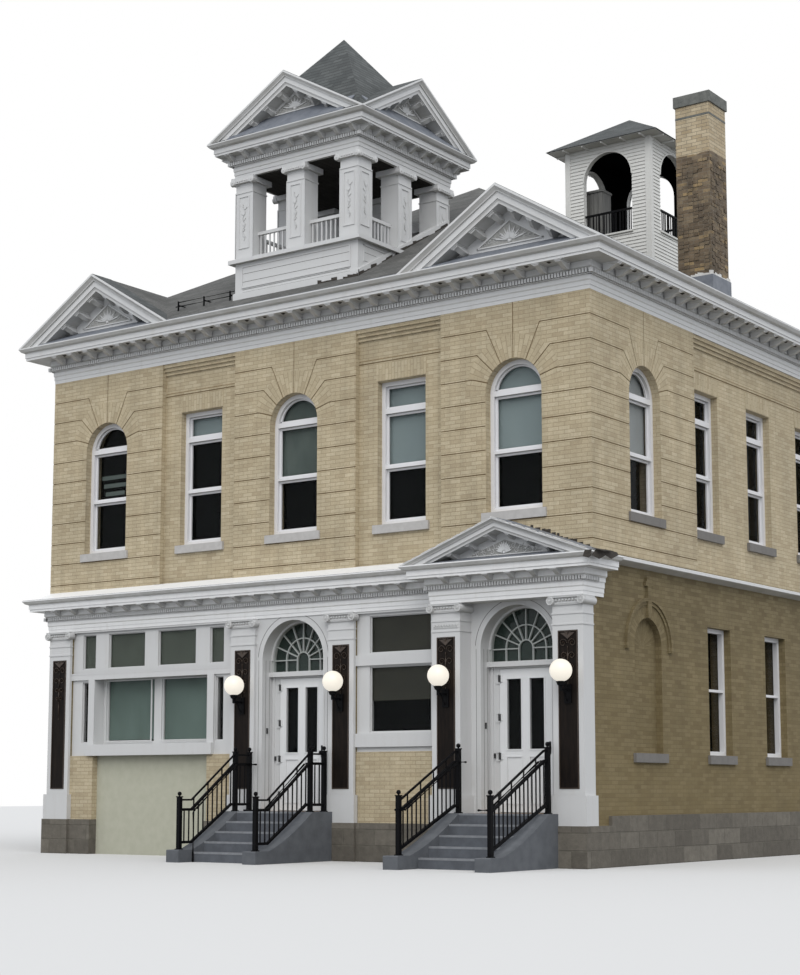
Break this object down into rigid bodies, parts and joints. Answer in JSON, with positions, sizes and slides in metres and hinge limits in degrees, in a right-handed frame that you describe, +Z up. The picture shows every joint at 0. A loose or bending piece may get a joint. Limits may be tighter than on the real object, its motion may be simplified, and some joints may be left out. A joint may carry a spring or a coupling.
{
  "type": "town hall building",
  "caption": "Hollow brick hall with a timber street front, arched upper windows, hinged entrance doors, hip roof, open cupola, bell turret and chimney.",
  "frame": {"origin": "bottom of the building's bounding box, in the middle of its plan; z = 0 is the foot of the entrance stairs", "axes": "+Z up, +X to the right when facing the front, front looks to -Y"},
  "size_m": [13.31, 15.86, 15.6895],
  "materials": {
    "stone": "rough",
    "brick": "rough",
    "chimney_brick": "rough",
    "stucco": "rough",
    "sill_stone": "rough",
    "step_stone": "rough",
    "timber": "satin",
    "white_paint": "satin",
    "clapboard": "satin",
    "panel_brown": "satin",
    "sash": "satin",
    "shingle": "rough",
    "glass": "gloss",
    "globe_glass": "gloss",
    "black_iron": "satin"
  },
  "bodies": {
    "building": {"foundation": "stone", "ground_floor": "timber", "upper_floor": "timber", "lookout_floors": "timber", "front_frame": "brick", "side_lower_walls": "brick", "rear_wall": "brick", "pavilion_walls": "brick", "recess_walls": "brick", "shopfront_walls": "brick", "chimney": "chimney_brick", "chimney_cap": "chimney_brick", "shopfront_panel": "stucco", "front_window_frames": "sash", "side_window_frames": "sash", "window_sills": "sill_stone", "front_window_glass": "glass", "side_window_glass": "glass", "shopfront_glass": "glass", "fanlight_glass": "glass", "pilasters": "white_paint", "pilaster_capitals": "white_paint", "pilaster_panels": "panel_brown", "door_jambs": "white_paint", "door_arches": "white_paint", "door_frames": "white_paint", "fanlight_bars": "white_paint", "shopfront_frames": "white_paint", "lower_entablature": "white_paint", "portico_pediment": "white_paint", "string_course": "white_paint", "main_cornice_ends": "white_paint", "main_cornice_sides": "white_paint", "modillions": "white_paint", "main_roof": "shingle", "gable_roofs": "shingle", "pediments": "white_paint", "cupola_base": "white_paint", "cupola_piers": "white_paint", "cupola_railings": "white_paint", "cupola_entablature": "white_paint", "cupola_pediments": "white_paint", "cupola_roof": "shingle", "turret_walls": "clapboard", "turret_roof": "shingle", "turret_railings": "white_paint", "entrance_stairs": "step_stone", "stair_cheeks": "step_stone", "stair_railings": "black_iron", "lamp_brackets": "black_iron", "lamp_globes": "globe_glass"},
    "middle_leaf": {"door_middle": "white_paint", "door_middle_glass": "glass"},
    "portico_leaf": {"door_portico": "white_paint", "door_portico_glass": "glass"}
  },
  "joints": [
    {"name": "middle_door_hinge", "type": "hinge", "parent": "building", "child": "middle_leaf", "pos_m": [-0.485, -5.355, 2], "axis": [0, 0, -1], "range_deg": [0, 90]},
    {"name": "portico_door_hinge", "type": "hinge", "parent": "building", "child": "portico_leaf", "pos_m": [4.175, -5.355, 2], "axis": [0, 0, -1], "range_deg": [0, 90]}
  ]
}
